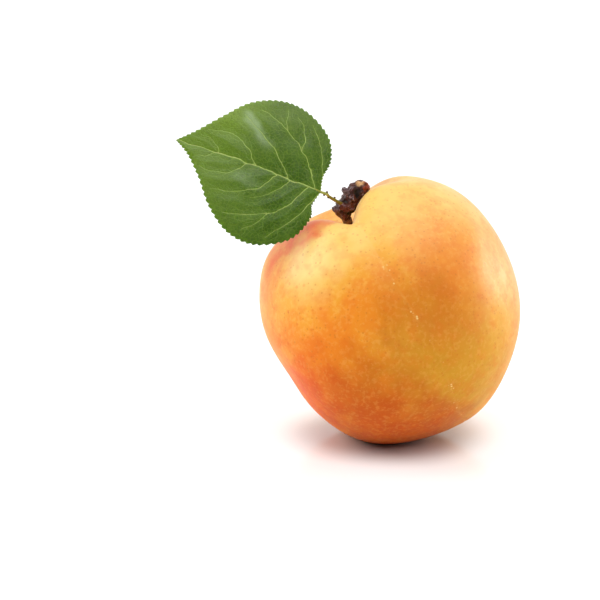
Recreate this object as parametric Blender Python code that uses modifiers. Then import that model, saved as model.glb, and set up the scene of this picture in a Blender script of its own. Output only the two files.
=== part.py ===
"""A ripe apricot as picked, with a stub of its fruiting spur and one small leaf.

Metres, +Z up. The origin is the middle of the flat spot that the fruit rests on. The suture
faces -Y, the stem cavity is on top and leans towards -X, and the leaf hangs over the -X side.
Lengths below are in millimetres from the fruit's centre and angles in degrees; new_piece moves
each finished body into the frame of the origin, in metres.
"""

import math

import bmesh
import bpy
from mathutils import Matrix, Vector
from mathutils.bvhtree import BVHTree

METRES_PER_MM = 0.001
FRUIT_CENTRE = (-0.1, 0.3, 26.9)

# Clearances between pieces that touch in life.
GAP = 0.3
SMALL_GAP = 0.1
SEATING_PASSES = 4

# Fruit, in its own frame: +Z towards the stalk and -Y towards the suture.
CHEEK_TO_CHEEK = 58.8
SUTURE_TO_BACK = 56.9
STALK_TO_APEX = 55.3
FRUIT_LEAN_LEFT = 23.5
FRUIT_LEAN_BACK = 12.0
FRUIT_SPIN = 9.0
# Columns gather towards the suture, and rows towards the stem cavity.
FRUIT_COLUMNS = 64
FRUIT_ROWS = 44
COLUMN_GATHER = 0.6
ROW_GATHER = 1.25

# Stem cavity: its depth under the ellipsoid, the angle from the stalk where it ends, its wall's steepness.
CAVITY_DEPTH = 10.0
CAVITY_SPREAD = 12.5
CAVITY_STEEPNESS = 1.9

# The suture is a groove that notches the cavity's rim, shifted a little towards the -X cheek, then
# drifts towards the +X cheek as it fades.
NOTCH_DEPTH = 7.6
NOTCH_ANGLE = 20.0
NOTCH_SPREAD = 11.5
NOTCH_SHIFT = 1.0
SUTURE_DEPTH = 0.5
SUTURE_HALF_WIDTH_LEFT = 3.2
SUTURE_HALF_WIDTH_RIGHT = 2.2
SUTURE_DRIFT = 0.047
SUTURE_DRIFTS_FROM = 30.0

# Swells and flats of the flesh: angle round the stalk from the suture (positive towards the +X
# cheek), angle from the stalk, angular spread, height.
SWELLS = (
    (90, 45, 28, 3.1),
    (50, 27, 15, 0.6),
    (34, 21, 10, 1.3),
    (118, 33, 13, 2.0),
    (90, 24, 8, -0.8),
    (145, 28, 17, 1.2),
    (-150, 25, 18, 1.5),
    (-90, 40, 16, 1.5),
    (-40, 44, 24, 1.2),
    (-32, 27, 11, 1.2),
    (-90, 102, 30, -4.3),
    (-86, 112, 14, 0.7),
    (-80, 150, 20, 0.4),
    (90, 160, 20, 1.2),
)

# Spur: a woody stub that lies across the cavity. Points of its middle line, and its radii there.
SPUR_LINE = ((-9.2, 2.0, 21.5), (-9.6, 1.8, 23.7), (-8.1, 1.2, 26.4), (-6.2, 1.0, 28.5), (-4.8, 1.0, 30.0))
SPUR_RADII = (2.1, 2.3, 1.9, 2.1, 1.9)
SPUR_COLUMNS = 20
SPUR_ROWS = 22
SPUR_END_ROUNDING = 0.35
KNOB_HEIGHT = 0.22
KNOBS_ROUND = 3
KNOBS_ALONG = 5
KNOB_TWIST = 3.0
KNOB_WANDER = 2.0

# Buds of the spur: name, place, the way the bud points, length, radius.
BUDS = (
    ("upper_bud", (-9.5, 0.0, 28.2), (-0.7, -0.1, 0.7), 2.4, 0.8),
    ("lower_bud", (-11.7, -0.3, 24.2), (-0.8, -0.2, 0.5), 1.9, 0.8),
)
BUD_COLUMNS = 12
BUD_ROWS = 10

# Pedicel: the fruit's own short stalk, from the floor of the cavity to the spur.
PEDICEL_RADIUS = 1.1
PEDICEL_SIDES = 16
PEDICEL_STEPS = 6

# Petiole: the leaf's stalk. It leaves the spur's side, bends over and runs straight into the midrib.
PETIOLE_FOOT = (-9.2, 1.4, 24.4)
PETIOLE_BEND = (-13.0, -2.4, 27.5)
PETIOLE_STRAIGHT = 0.9
PETIOLE_STANDOFF = 0.45
PETIOLE_RADIUS = 0.36
PETIOLE_SIDES = 12
PETIOLE_STEPS = 14

# Nectar glands on the petiole: share of its length, and 1 for its upper side or -1 for its lower side.
GLANDS = ((0.20, 1), (0.46, -1), (0.72, 1), (0.90, -1))
GLAND_RADIUS = 0.27
GLAND_SINK = 0.4
GLAND_COLUMNS = 10
GLAND_ROWS = 8

# Leaf, in its own frame: +X from base to tip, +Y towards the hanging margin, +Z out of its upper face.
LEAF_BASE = (-14.95, -6.75, 29.56)
LEAF_LENGTH = 33.2
LEAF_THICKNESS = 0.35
LEAF_RISE = 18.5
LEAF_TIP_BACK = 8.0
LEAF_ROLL = 40.0
# Distance from the base and half width, for each half of the blade.
HANGING_MARGIN = (
    (0.0, 0.0), (0.9, 3.9), (0.2, 7.2), (2.6, 13.3), (9.0, 17.4),
    (15.2, 17.0), (20.8, 12.9), (25.4, 7.0), (29.8, 2.2), (LEAF_LENGTH, 0.0),
)
RISING_MARGIN = (
    (0.0, 0.0), (0.9, 3.4), (0.6, 7.9), (3.0, 13.1), (9.0, 16.8),
    (15.0, 17.1), (21.0, 14.1), (25.4, 8.8), (29.8, 3.2), (LEAF_LENGTH, 0.0),
)
LEAF_TEETH = 46
LEAF_ROWS = 4
TOOTH_HEIGHT = 0.35
TOOTH_FADE = 12.0
RIB_CROWDING = 1.25
LEAF_BOW = 1.6
LEAF_FOLD = 0.07
LEAF_DROOP = 0.006

MERGE_DISTANCE = 0.0001
TANGENT_STEP = 0.01


def clamped(value):
    """A sine or cosine that rounding may have pushed past one."""
    return max(-1.0, min(1.0, value))


def direction_of(around, polar):
    """Unit vector of the fruit's frame, from angles round from the suture and down from the stalk."""
    a = math.radians(around)
    t = math.radians(polar)
    return Vector((math.sin(t) * math.sin(a), -math.sin(t) * math.cos(a), math.cos(t)))


def ellipsoid_radius(way):
    """Distance from the fruit's centre to its ellipsoid along a unit vector."""
    x = 2 * way.x / CHEEK_TO_CHEEK
    y = 2 * way.y / SUTURE_TO_BACK
    z = 2 * way.z / STALK_TO_APEX
    return 1.0 / math.sqrt(x * x + y * y + z * z)


def swell_height(way):
    """Height that the swells and flats add along a unit vector."""
    total = 0.0
    for around, polar, spread, height in SWELLS:
        apart = math.degrees(math.acos(clamped(way.dot(direction_of(around, polar)))))
        total += height * math.exp(-((apart / spread) ** 2))
    return total


def groove_share(across):
    """How far out of a groove a point lies, as a share of the half width on its side."""
    return abs(across) / (SUTURE_HALF_WIDTH_RIGHT if across > 0 else SUTURE_HALF_WIDTH_LEFT)


def suture_depth(around, polar, radius):
    """Depth of the suture: a sharp notch at the cavity's rim and a shallow groove below it."""
    drift = SUTURE_DRIFT * max(polar - SUTURE_DRIFTS_FROM, 0.0)
    across = math.radians(around) * math.sin(math.radians(polar)) * radius - drift
    notch = NOTCH_DEPTH * math.exp(-(((polar - NOTCH_ANGLE) / NOTCH_SPREAD) ** 2))
    groove = SUTURE_DEPTH * math.sin(math.radians(polar))
    share = groove_share(across)
    return notch * math.exp(-groove_share(across + NOTCH_SHIFT)) + groove * math.exp(-share * share)


def fruit_point(around, polar):
    """Point of the fruit's skin in its own frame."""
    way = direction_of(around, polar)
    cavity = CAVITY_DEPTH * math.exp(-((polar / CAVITY_SPREAD) ** CAVITY_STEEPNESS))
    radius = ellipsoid_radius(way) + swell_height(way) - cavity
    return way * (radius - suture_depth(around, polar, radius))


def fruit_turn():
    """Rotation from the fruit's own frame to the frame of the part."""
    left = Matrix.Rotation(math.radians(-FRUIT_LEAN_LEFT), 4, "Y")
    back = Matrix.Rotation(math.radians(-FRUIT_LEAN_BACK), 4, "X")
    spin = Matrix.Rotation(math.radians(FRUIT_SPIN), 4, "Z")
    return left @ back @ spin


def fruit_body():
    """A sphere drawn out into the fruit, then cut flat where it rests."""
    body = bmesh.new()
    bmesh.ops.create_uvsphere(body, u_segments=FRUIT_COLUMNS, v_segments=FRUIT_ROWS, radius=1.0)
    for vert in body.verts:
        down = math.acos(clamped(vert.co.z)) / math.pi
        around = math.atan2(vert.co.x, -vert.co.y)
        around -= COLUMN_GATHER * math.sin(around)
        vert.co = fruit_point(math.degrees(around), 180.0 * down**ROW_GATHER)
    bmesh.ops.transform(body, matrix=fruit_turn(), verts=body.verts)
    everything = body.verts[:] + body.edges[:] + body.faces[:]
    rest = (0, 0, -FRUIT_CENTRE[2])
    cut = bmesh.ops.bisect_plane(body, geom=everything, plane_co=rest, plane_no=(0, 0, 1), clear_inner=True)
    rim = [part for part in cut["geom_cut"] if isinstance(part, bmesh.types.BMEdge)]
    bmesh.ops.contextual_create(body, geom=rim)
    return body


def curve_point(points, share):
    """Point of the smooth line through the given points, 0 at its start and 1 at its end."""
    place = min(max(share, 0.0), 1.0) * (len(points) - 1)
    index = min(int(place), len(points) - 2)
    t = place - index
    before = Vector(points[max(index - 1, 0)])
    start = Vector(points[index])
    end = Vector(points[index + 1])
    after = Vector(points[min(index + 2, len(points) - 1)])
    slope = end - before
    bend = 2 * before - 5 * start + 4 * end - after
    twist = 3 * start - before - 3 * end + after
    return 0.5 * (2 * start + slope * t + bend * t**2 + twist * t**3)


def square_to(points, share):
    """Two directions square to the smooth line at a share of its length."""
    ahead = curve_point(points, share + TANGENT_STEP)
    along = (ahead - curve_point(points, share - TANGENT_STEP)).normalized()
    side = along.cross(Vector((0, 1, 0))).normalized()
    return side, along.cross(side)


def spur_radius(share, around):
    """Radius of the spur, with the knobs left by old buds and fruit scars."""
    radius = curve_point([(r, 0, 0) for r in SPUR_RADII], share).x
    wave = math.sin(KNOBS_ALONG * math.tau * share + KNOB_WANDER * math.sin(around))
    return radius + KNOB_HEIGHT * wave * math.sin(KNOBS_ROUND * around + KNOB_TWIST * share)


def spur_body():
    """A sphere drawn out along the spur's line into a knobbly rod with rounded ends."""
    body = bmesh.new()
    bmesh.ops.create_uvsphere(body, u_segments=SPUR_COLUMNS, v_segments=SPUR_ROWS, radius=1.0)
    for vert in body.verts:
        polar = math.acos(clamped(vert.co.z))
        around = math.atan2(vert.co.y, vert.co.x)
        share = polar / math.pi
        side, other = square_to(SPUR_LINE, share)
        radius = spur_radius(share, around) * max(math.sin(polar), 0.0) ** SPUR_END_ROUNDING
        out = side * math.cos(around) + other * math.sin(around)
        vert.co = curve_point(SPUR_LINE, share) + radius * out
    bmesh.ops.remove_doubles(body, verts=body.verts, dist=MERGE_DISTANCE)
    return body


def tree_of(body):
    """Search tree of a closed body whose normals point outwards."""
    bmesh.ops.recalc_face_normals(body, faces=body.faces)
    return BVHTree.FromBMesh(body)


def seat(body, trees, gap):
    """Moves the points of a body off its neighbours, so that it sits against them with a gap."""
    for vert in body.verts:
        for tree in trees * SEATING_PASSES:
            place, normal, _, distance = tree.find_nearest(vert.co)
            inside = (vert.co - place).dot(normal) < 0
            if inside or distance < gap:
                vert.co = place + normal * gap


def tube_body(points, radius, sides, steps):
    """A round tube with flat ends along a smooth line."""
    body = bmesh.new()
    rings = []
    for step in range(steps + 1):
        middle = curve_point(points, step / steps)
        side, other = square_to(points, step / steps)
        ring = []
        for index in range(sides):
            turn = math.tau * index / sides
            out = side * math.cos(turn) + other * math.sin(turn)
            ring.append(body.verts.new(middle + radius * out))
        rings.append(ring)
    for ring, after in zip(rings, rings[1:]):
        for index in range(sides):
            beside = (index + 1) % sides
            body.faces.new((ring[index], ring[beside], after[beside], after[index]))
    ends = [body.faces.new(rings[0]), body.faces.new(rings[-1])]
    bmesh.ops.poke(body, faces=ends)
    return body


def oval_body(centre, long_way, length, radius, columns, rows):
    """A small oval body whose long way points along the given direction."""
    body = bmesh.new()
    bmesh.ops.create_uvsphere(body, u_segments=columns, v_segments=rows, radius=1.0)
    turn = Vector((0, 0, 1)).rotation_difference(Vector(long_way)).to_matrix().to_4x4()
    size = Matrix.Diagonal((radius, radius, length / 2, 1.0))
    place = Matrix.Translation(Vector(centre))
    bmesh.ops.transform(body, matrix=place @ turn @ size, verts=body.verts)
    return body


def pedicel_body(fruit_tree, spur_tree):
    """The fruit's stalk, seated on the floor of the cavity and under the spur."""
    floor = fruit_turn() @ fruit_point(0.0, 0.0)
    body = tube_body((floor, SPUR_LINE[0]), PEDICEL_RADIUS, PEDICEL_SIDES, PEDICEL_STEPS)
    seat(body, [fruit_tree, spur_tree], GAP)
    return body


def leaf_place():
    """Matrix from the leaf's own frame to the frame of the part."""
    facing = Matrix(((-1, 0, 0, 0), (0, 0, -1, 0), (0, -1, 0, 0), (0, 0, 0, 1)))
    rise = Matrix.Rotation(math.radians(-LEAF_RISE), 4, "Z")
    tip_back = Matrix.Rotation(math.radians(LEAF_TIP_BACK), 4, "Y")
    roll = Matrix.Rotation(math.radians(LEAF_ROLL), 4, "X")
    return Matrix.Translation(Vector(LEAF_BASE)) @ facing @ rise @ tip_back @ roll


def petiole_line(spur_tree):
    """Points of the petiole's middle line, stopping short of the spur and of the blade."""
    bend = Vector(PETIOLE_BEND)
    inwards = (Vector(PETIOLE_FOOT) - bend).normalized()
    foot = spur_tree.ray_cast(bend, inwards)[0] - inwards * PETIOLE_STANDOFF
    lead = leaf_place() @ Vector((-PETIOLE_STANDOFF - PETIOLE_STRAIGHT, 0, 0))
    end = leaf_place() @ Vector((-PETIOLE_STANDOFF, 0, 0))
    return (foot, bend, lead, end)


def gland_body(line, share, upwards, petiole_tree):
    """A nectar gland, a small bead seated on the petiole's upper or lower side."""
    side, other = square_to(line, share)
    out = upwards * (side * side.z + other * other.z).normalized()
    place = curve_point(line, share) + out * (PETIOLE_RADIUS + (1 - GLAND_SINK) * GLAND_RADIUS)
    body = oval_body(place, out, 2 * GLAND_RADIUS, GLAND_RADIUS, GLAND_COLUMNS, GLAND_ROWS)
    seat(body, [petiole_tree], SMALL_GAP)
    return body


def leaf_edge(side, share):
    """Point of the smooth margin, before its teeth, and the direction along it."""
    margin = HANGING_MARGIN if side > 0 else RISING_MARGIN
    points = [(x, side * y, 0) for x, y in margin]
    edge = curve_point(points, share)
    ahead = curve_point(points, share + TANGENT_STEP)
    behind = curve_point(points, share - TANGENT_STEP)
    return edge, (ahead - behind).normalized()


def leaf_height(x, y):
    """Height of the blade: bowed from base to tip, raised beside the midrib, drooping at the margin."""
    bow = LEAF_BOW * math.sin(math.pi * x / LEAF_LENGTH)
    return bow + LEAF_FOLD * abs(y) - LEAF_DROOP * y * y


def leaf_sheet():
    """A grid drawn out from the midrib to the toothed margin, each row running from base to tip."""
    body = bmesh.new()
    columns = 2 * LEAF_TEETH
    bmesh.ops.create_grid(body, x_segments=columns, y_segments=2 * LEAF_ROWS, size=1.0)
    for vert in body.verts:
        share = (vert.co.x + 1) / 2
        spread = abs(vert.co.y)
        side = 1 if vert.co.y > 0 else -1
        edge, along = leaf_edge(side, share)
        on_tooth = round(share * columns) % 2 == 1
        if on_tooth and spread > 1 - MERGE_DISTANCE:
            height = TOOTH_HEIGHT * min(1.0, TOOTH_FADE * share, TOOTH_FADE * (1 - share))
            outwards = side * Vector((-along.y, along.x, 0))
            edge += height * (outwards + along)
        rib = Vector((LEAF_LENGTH * share**RIB_CROWDING, 0, 0))
        vert.co = rib.lerp(edge, spread)
        vert.co.z = leaf_height(vert.co.x, vert.co.y)
    bmesh.ops.remove_doubles(body, verts=body.verts, dist=MERGE_DISTANCE)
    bmesh.ops.transform(body, matrix=leaf_place(), verts=body.verts)
    return body


def new_material(name, colour, roughness):
    """A plain, non-metallic surface."""
    material = bpy.data.materials.new(name)
    material.use_nodes = True
    shader = material.node_tree.nodes["Principled BSDF"]
    shader.inputs["Base Color"].default_value = (*colour, 1.0)
    shader.inputs["Roughness"].default_value = roughness
    shader.inputs["Metallic"].default_value = 0.0
    material.diffuse_color = (*colour, 1.0)
    return material


def skin_material():
    return new_material("fruit_skin", (0.88, 0.40, 0.07), 0.5)


def spur_bark_material():
    return new_material("spur_bark", (0.09, 0.03, 0.025), 0.55)


def bud_scale_material():
    return new_material("bud_scale", (0.13, 0.07, 0.07), 0.6)


def pedicel_material():
    return new_material("pedicel_bark", (0.20, 0.09, 0.04), 0.6)


def petiole_material():
    return new_material("petiole_green", (0.30, 0.36, 0.05), 0.4)


def gland_material():
    return new_material("gland_brown", (0.10, 0.05, 0.02), 0.4)


def leaf_material():
    return new_material("leaf_green", (0.08, 0.21, 0.03), 0.4)


def new_piece(name, body, material, collection):
    """Names a body and moves it from the fruit's centre to the frame of the origin, in metres."""
    bmesh.ops.translate(body, vec=FRUIT_CENTRE, verts=body.verts)
    bmesh.ops.scale(body, vec=[METRES_PER_MM] * 3, verts=body.verts)
    bmesh.ops.recalc_face_normals(body, faces=body.faces)
    for face in body.faces:
        face.smooth = True
    mesh = bpy.data.meshes.new(name)
    body.to_mesh(mesh)
    body.free()
    mesh.materials.append(material)
    piece = bpy.data.objects.new(name, mesh)
    collection.objects.link(piece)
    return piece


def make_fruit(collection):
    body = fruit_body()
    tree = tree_of(body)
    new_piece("fruit", body, skin_material(), collection)
    return tree


def make_spur(collection, fruit_tree):
    body = spur_body()
    seat(body, [fruit_tree], GAP)
    tree = tree_of(body)
    new_piece("spur", body, spur_bark_material(), collection)
    return tree


def make_buds(collection, spur_tree):
    material = bud_scale_material()
    for name, place, long_way, length, radius in BUDS:
        body = oval_body(place, long_way, length, radius, BUD_COLUMNS, BUD_ROWS)
        seat(body, [spur_tree], GAP)
        new_piece(name, body, material, collection)


def make_pedicel(collection, fruit_tree, spur_tree):
    new_piece("pedicel", pedicel_body(fruit_tree, spur_tree), pedicel_material(), collection)


def make_petiole(collection, line):
    body = tube_body(line, PETIOLE_RADIUS, PETIOLE_SIDES, PETIOLE_STEPS)
    tree = tree_of(body)
    new_piece("petiole", body, petiole_material(), collection)
    return tree


def make_glands(collection, line, petiole_tree):
    material = gland_material()
    for index, (share, upwards) in enumerate(GLANDS, 1):
        body = gland_body(line, share, upwards, petiole_tree)
        new_piece(f"petiole_gland_{index}", body, material, collection)


def make_leaf(collection):
    leaf = new_piece("leaf_blade", leaf_sheet(), leaf_material(), collection)
    thicken = leaf.modifiers.new("thickness", "SOLIDIFY")
    thicken.thickness = LEAF_THICKNESS * METRES_PER_MM
    thicken.offset = 0.0


def clear_scene():
    for old in list(bpy.data.objects):
        bpy.data.objects.remove(old, do_unlink=True)


def build():
    clear_scene()
    collection = bpy.data.collections.new("apricot")
    bpy.context.scene.collection.children.link(collection)
    fruit_tree = make_fruit(collection)
    spur_tree = make_spur(collection, fruit_tree)
    make_pedicel(collection, fruit_tree, spur_tree)
    make_buds(collection, spur_tree)
    line = petiole_line(spur_tree)
    petiole_tree = make_petiole(collection, line)
    make_glands(collection, line, petiole_tree)
    make_leaf(collection)


build()
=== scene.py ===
"""Looks of the apricot: skin, stem cavity, spur, buds, petiole and leaf, in a pale studio.

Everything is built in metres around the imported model. Lengths of the apricot's details are in
millimetres and angles in degrees, as in its CAD source, and MM turns them into metres. The
fruit's own frame has +Z towards the stalk and -Y towards the suture; the leaf's own frame has
+X from base to tip, +Y towards the hanging margin and +Z out of the upper face.
"""

import math

import bmesh
import bpy
import numpy as np
from mathutils import Matrix, Vector, noise
from mathutils.bvhtree import BVHTree


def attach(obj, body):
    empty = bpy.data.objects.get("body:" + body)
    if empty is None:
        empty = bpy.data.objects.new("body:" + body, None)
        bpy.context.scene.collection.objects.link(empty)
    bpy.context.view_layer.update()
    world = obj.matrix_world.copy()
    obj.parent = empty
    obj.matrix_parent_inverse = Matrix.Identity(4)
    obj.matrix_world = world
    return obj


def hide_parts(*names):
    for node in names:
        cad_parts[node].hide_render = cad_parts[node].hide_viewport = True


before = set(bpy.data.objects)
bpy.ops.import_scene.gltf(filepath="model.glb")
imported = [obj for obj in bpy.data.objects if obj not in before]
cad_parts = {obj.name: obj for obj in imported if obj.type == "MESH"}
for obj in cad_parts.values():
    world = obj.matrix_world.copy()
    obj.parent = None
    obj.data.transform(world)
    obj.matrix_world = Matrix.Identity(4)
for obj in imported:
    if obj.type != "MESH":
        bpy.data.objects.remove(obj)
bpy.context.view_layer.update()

MM = 0.001

# Points closer than this, in metres, are merged, and triangles within this angle are joined.
MERGE_DISTANCE = 0.00001
JOIN_ANGLE = 40.0

# Subdivisions of a CAD mesh, and of one that bark or scales are drawn on.
SMOOTHING_LEVELS = 2
RELIEF_LEVELS = 3

# Step, as a share of a curve, that its direction is taken over.
TANGENT_STEP = 0.01

# Camera: a long lens a little above the fruit, aimed between it and its leaf.
CAMERA_DISTANCE = 0.55
CAMERA_ELEVATION = 15.0
CAMERA_LENS = 150.0
CAMERA_CLIP = (0.01, 100.0)
AIM = (-0.0195, 0.0009, 0.0305)

# Fruit: its centre from the resting spot, how it leans, as in the CAD, and how fine its skin is.
FRUIT_CENTRE = (-0.1, 0.3, 26.9)
FRUIT_RADIUS = 28.0
FRUIT_LEAN_LEFT = 23.5
FRUIT_LEAN_BACK = 12.0
FRUIT_SPIN = 9.0
FRUIT_COLUMNS = 360
FRUIT_ROWS = 230
COLUMN_GATHER = 0.6
ROW_GATHER = 1.25

# Suture: where it runs, and how deep and wide the fine line at its bottom is.
SUTURE_DRIFT = 0.047
SUTURE_DRIFTS_FROM = 30.0
SUTURE_LINE_DEPTH = 0.06
SUTURE_LINE_WIDTH = 0.35
SUTURE_LINE_WANDER = 0.3
SUTURE_WANDER_ANGLE = 14.0

# Gentle dimples of the skin: depth and size.
DIMPLE_DEPTH = 0.12
DIMPLE_SIZE = 9.0

# Colour patches of the skin: angle round the stalk from the suture (positive towards the +X
# cheek), angle from the stalk, where the patch is full, where it ends, strength, colour.
GROUND = ((0.9, 0.365, 0.025), (0.91, 0.44, 0.045))
YELLOW = (0.93, 0.58, 0.1)
# Pale yellow of painted highlights: a soft highlight high on the -X cheek and the pale top of the
# +X cheek.
HIGHLIGHT_YELLOW = (0.95, 0.67, 0.2)
# Red-orange low on the -X cheek: partly the skin's own blush, partly a painted warm reflection.
RED_ORANGE = (0.88, 0.1, 0.008)
BLUSH = (0.9, 0.095, 0.004)
DEEP_ORANGE = (0.92, 0.24, 0.01)
OLIVE_YELLOW = (0.68, 0.33, 0.02)
# Orange of painted shade on the front of the fruit.
SHADED_ORANGE = (0.66, 0.195, 0.006)
# Deep orange of painted shade, with a painted warm reflection, low on the -X side and under the
# fruit.
UNDERSIDE_SHADE_ORANGE = (0.58, 0.085, 0.001)
RUSSET = (0.5, 0.2, 0.1)
SKIN_PATCHES = (
    (20, 22, 8, 46, 0.85, YELLOW),
    (80, 30, 10, 40, 0.5, YELLOW),
    (-14, 46, 4, 26, 0.7, YELLOW),
    # Painted highlight, soft, high on the -X cheek.
    (-31, 51, 4, 23, 0.75, HIGHLIGHT_YELLOW),
    (27, 82, 3, 34, 0.75, DEEP_ORANGE),
    # Painted highlight on the top of the +X cheek.
    (76, 54, 4, 30, 0.7, HIGHLIGHT_YELLOW),
    (-12, 82, 2, 24, 0.6, DEEP_ORANGE),
    (-38, 92, 3, 28, 0.85, DEEP_ORANGE),
    (-78, 78, 2, 28, 0.5, DEEP_ORANGE),
    # Painted shade on the front of the fruit.
    (14, 99, 4, 38, 0.8, SHADED_ORANGE),
    (17, 136, 8, 46, 0.85, OLIVE_YELLOW),
    (-8, 116, 4, 30, 0.6, OLIVE_YELLOW),
    # Partly the skin's own blush, partly a painted warm reflection.
    (-60, 104, 4, 34, 0.85, RED_ORANGE),
    (-90, 118, 8, 46, 0.8, RED_ORANGE),
    # Painted shade and a painted warm reflection low on the -X side and under the fruit.
    (-34, 122, 4, 42, 0.8, UNDERSIDE_SHADE_ORANGE),
    (-40, 152, 14, 44, 0.95, UNDERSIDE_SHADE_ORANGE),
    (-42, 24, 3, 16, 0.8, BLUSH),
    (-54, 29, 5, 19, 0.95, BLUSH),
    (-62, 38, 3, 17, 0.7, BLUSH),
    (-69, 48, 2, 17, 0.3, BLUSH),
    (165, 80, 12, 60, 0.6, DEEP_ORANGE),
    (-150, 95, 8, 40, 0.5, BLUSH),
    (112, 22, 3, 10, 0.5, RUSSET),
)

# Red dots speckle the cheek towards -X: the same two angles, where they are full, where they end.
RED_DOTS = (-52, 88, 14, 48)

# How far, in degrees, the ends of the patches wander in and out.
PATCH_RAGGEDNESS = 26.0

# Long shallow dent down the +X cheek: the same two angles, spread and depth of its parts.
DENTS = (
    (66, 66, 7, 0.14),
    (60, 78, 7, 0.18),
    (52, 92, 7, 0.2),
    (43, 106, 7, 0.16),
    (31, 118, 7, 0.12),
)

# Leaf: its place, as in the CAD, and its outline, a hair shorter than in the CAD.
LEAF_BASE = (-14.95, -6.75, 29.56)
LEAF_LENGTH = 33.16
LEAF_RISE = 18.5
LEAF_TIP_BACK = 8.0
LEAF_ROLL = 40.0
HANGING_MARGIN = (
    (0.0, 0.0), (0.9, 3.9), (0.2, 7.2), (2.6, 13.3), (9.0, 17.4),
    (15.2, 17.0), (20.8, 12.9), (25.4, 7.0), (29.8, 2.2), (LEAF_LENGTH, 0.0),
)
RISING_MARGIN = (
    (0.0, 0.0), (0.9, 3.4), (0.6, 7.9), (3.0, 13.1), (9.0, 16.8),
    (15.0, 17.1), (21.0, 14.1), (25.4, 8.8), (29.8, 3.2), (LEAF_LENGTH, 0.0),
)
LEAF_BOW = 1.6
LEAF_FOLD = 0.07
LEAF_DROOP = 0.006

# Teeth of the margin: how many on each side, how high, the share of a tooth that rises, how fast
# they die out at base and tip, how far they lean, and how far into the blade they are felt.
LEAF_TEETH = 46
TOOTH_HEIGHT = 0.35
TOOTH_RISE = 0.7
TOOTH_FADE = 12.0
TOOTH_LEAN = 0.35
TOOTH_REACH = 8

# Mesh of the blade: points along each tooth, rows on each side and how both gather, and thickness.
POINTS_PER_TOOTH = 6
LEAF_ROWS = 78
ROW_CROWDING = 1.1
RIB_CROWDING = 1.25
BLADE_HALF_THICKNESS = 0.13
MARGIN_SHARPNESS = 24

# Veins of the leaf: width, then points of their line. Negative sides are on the rising half.
MIDRIB = (
    0.26,
    ((-0.3, 0.0), (7.0, 0.25), (14.0, 0.3), (21.0, 0.2), (27.0, 0.1), (LEAF_LENGTH, 0.0)),
)
SIDE_VEINS = (
    (0.12, ((0.1, -0.3), (0.9, -4.1), (2.6, -8.2), (4.4, -11.5), (7.0, -14.2))),
    (0.15, ((1.6, -0.2), (3.5, -3.5), (6.7, -7.2), (11.3, -10.4), (14.7, -12.2), (18.3, -13.2))),
    (0.1, ((6.7, -7.2), (7.4, -10.4), (8.5, -13.2), (10.2, -14.8))),
    (0.1, ((11.3, -10.4), (12.4, -12.8), (13.0, -15.4))),
    (0.14, ((7.3, 0.3), (11.6, -4.2), (14.5, -6.5), (18.1, -8.8), (21.2, -10.6))),
    (0.12, ((14.7, 0.4), (17.1, -2.3), (18.8, -3.7), (21.2, -4.9), (23.9, -5.3), (27.5, -4.5))),
    (0.07, ((23.4, 0.1), (24.6, -1.6), (26.4, -2.7), (28.6, -2.9))),
    (0.12, ((0.2, 0.4), (1.9, 5.6), (3.0, 8.4), (4.7, 11.4), (7.5, 15.2))),
    (0.14, ((2.7, 0.4), (5.0, 5.5), (7.4, 8.9), (10.0, 10.6), (13.2, 12.3), (17.8, 13.4))),
    (0.09, ((8.7, 9.8), (10.2, 13.0), (12.6, 15.4))),
    (0.09, ((6.9, 0.4), (8.4, 3.4), (10.6, 6.0), (13.4, 7.9))),
    (0.13, ((10.0, 0.5), (11.6, 3.7), (13.6, 6.1), (17.9, 8.2), (22.1, 9.0))),
    (0.11, ((17.2, 0.4), (18.8, 3.2), (21.0, 4.5), (23.6, 4.9), (26.0, 4.6))),
    (0.07, ((24.2, 0.2), (25.6, 1.9), (27.6, 2.4))),
)

# Finer veins branch off the midrib and the side veins, leaning towards their ends.
TWIG_SPACING = 1.4
TWIG_LENGTH = 3.0
TWIG_WIDTH = 0.06
TWIG_ANGLE = 55.0
TWIG_CURL = 22.0
TWIG_STEPS = 4

# Drawing of the veins: pieces to each stretch of a line, taper, reach of a mask past its vein, size
# and height of the waves, and how far off the waves across the leaf are read.
VEIN_STEPS = 6
VEIN_TAPER = 0.6
VEIN_MARGIN = 0.24
VEIN_WAVES = ((2.6, 0.4), (0.9, 0.12))
WAVE_SHIFT = Vector((17.0, 5.0, 11.0))

# Relief of the blade: veins sunk above and raised below, their spread, a fine vein's share of it,
# the quilt between them, and a gentle unevenness that the margin lacks.
VEIN_SINK = 0.05
VEIN_RELIEF_BELOW = 0.14
VEIN_SPREAD = 1.3
TWIG_SHARE = 0.4
QUILT_HEIGHT = 0.28
QUILT_REACH = 2.2
BLADE_UNEVENNESS = 0.3
BLADE_UNEVEN_SIZE = 5.5
MARGIN_CALM = 4

# Painted highlights on streaks of the upper face: start and end in its own plane, half width,
# strength.
HIGHLIGHT_STREAKS = (
    ((22.5, -11.8), (11.5, -3.9), 1.7, 0.72),
    ((20.5, 3.4), (9.0, 4.6), 2.2, 0.22),
)
# Pale colour of the painted highlight streaks.
HIGHLIGHT_STREAK_COLOUR = (0.36, 0.47, 0.25)

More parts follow.
